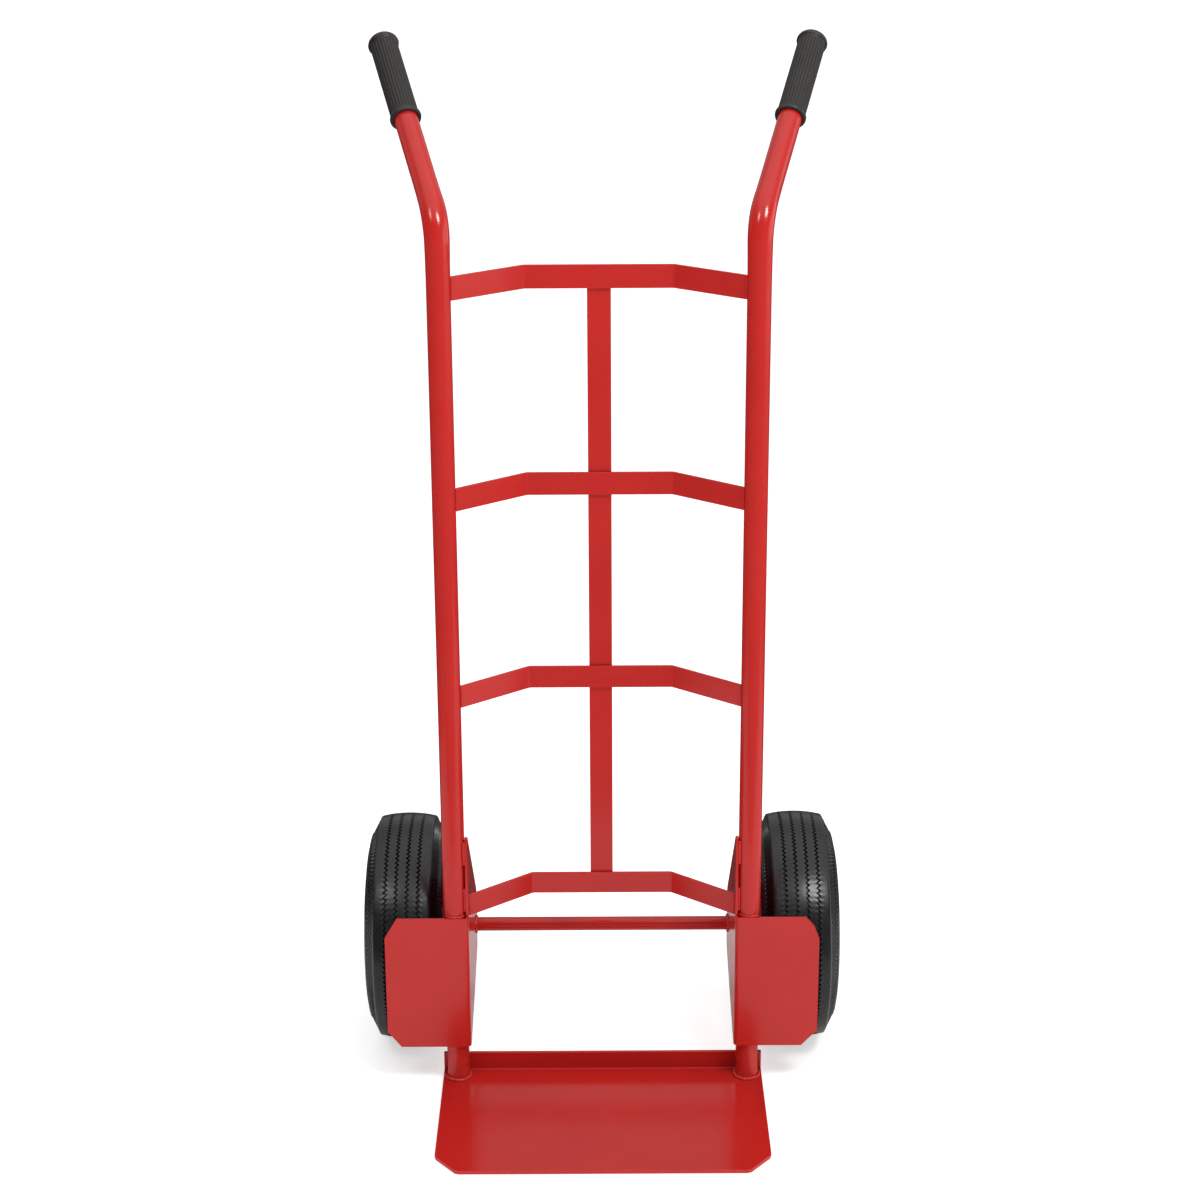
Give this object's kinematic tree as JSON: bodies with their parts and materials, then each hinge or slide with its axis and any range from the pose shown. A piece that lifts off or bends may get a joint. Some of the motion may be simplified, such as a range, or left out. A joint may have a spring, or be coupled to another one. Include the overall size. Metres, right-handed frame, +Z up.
{
  "type": "hand truck",
  "caption": "Upright tubular steel sack truck with bowed flat crossbars, a toe plate, splayed rear-leaning handles and pneumatic wheels behind folded wheel guards.",
  "frame": {"origin": "on the underside of the toe plate, in the centre plane of the two rails and midway between them, so that the floor is at Z = 0", "axes": "+Z up along the rails; +Y to the rear, towards the wheels and the handles; +X along the axle, to the right for a person who stands in front of the toe plate"},
  "size_m": [0.5372, 0.456, 1.1426],
  "materials": {
    "red_paint": "smooth semi-gloss red powder coat on steel",
    "grip_rubber": "satin ribbed black-brown rubber",
    "tyre_rubber": "matte black tread rubber",
    "tube_rubber": "plain black butyl rubber",
    "rim_paint": "light grey semi-gloss paint on pressed steel",
    "zinc": "bright zinc plate",
    "bearing_steel": "ground bearing steel with pressed shields",
    "cap_plastic": "moulded black plastic"
  },
  "bodies": {
    "frame": {"left_rail": "red_paint", "right_rail": "red_paint", "left_axle_bracket": "red_paint", "right_axle_bracket": "red_paint", "left_axle_spacer": "red_paint", "right_axle_spacer": "red_paint", "top_crossbar": "red_paint", "upper_crossbar": "red_paint", "lower_crossbar": "red_paint", "bottom_crossbar": "red_paint", "centre_strap": "red_paint", "toe_plate": "red_paint", "axle": "red_paint", "left_grip": "grip_rubber", "right_grip": "grip_rubber", "left_inner_washer": "zinc", "right_inner_washer": "zinc", "left_outer_washer": "zinc", "right_outer_washer": "zinc", "left_split_pin": "zinc", "right_split_pin": "zinc", "left_inner_bearing_inner_ring": "bearing_steel", "right_inner_bearing_inner_ring": "bearing_steel", "left_outer_bearing_inner_ring": "bearing_steel", "right_outer_bearing_inner_ring": "bearing_steel"},
    "left_wheel": {"left_tyre": "tyre_rubber", "left_inner_tube": "tube_rubber", "left_valve_stem": "tube_rubber", "left_valve_cap": "cap_plastic", "left_rim_inner_half": "rim_paint", "left_rim_outer_half": "rim_paint", "left_hub": "rim_paint", "left_inner_bearing_outer_ring": "bearing_steel", "left_outer_bearing_outer_ring": "bearing_steel", "left_rim_bolt_1": "zinc", "left_rim_nut_1": "zinc", "left_rim_bolt_2": "zinc", "left_rim_nut_2": "zinc", "left_rim_bolt_3": "zinc", "left_rim_nut_3": "zinc", "left_rim_bolt_4": "zinc", "left_rim_nut_4": "zinc"},
    "right_wheel": {"right_tyre": "tyre_rubber", "right_inner_tube": "tube_rubber", "right_valve_stem": "tube_rubber", "right_valve_cap": "cap_plastic", "right_rim_inner_half": "rim_paint", "right_rim_outer_half": "rim_paint", "right_hub": "rim_paint", "right_inner_bearing_outer_ring": "bearing_steel", "right_outer_bearing_outer_ring": "bearing_steel", "right_rim_bolt_1": "zinc", "right_rim_nut_1": "zinc", "right_rim_bolt_2": "zinc", "right_rim_nut_2": "zinc", "right_rim_bolt_3": "zinc", "right_rim_nut_3": "zinc", "right_rim_bolt_4": "zinc", "right_rim_nut_4": "zinc"}
  },
  "joints": [
    {"name": "left_wheel_spin", "type": "hinge", "parent": "frame", "child": "left_wheel", "pos_m": [-0.224, 0.127, 0.13], "axis": [1, 0, 0], "continuous": true},
    {"name": "right_wheel_spin", "type": "hinge", "parent": "frame", "child": "right_wheel", "pos_m": [0.224, 0.127, 0.13], "axis": [1, 0, 0], "continuous": true}
  ]
}
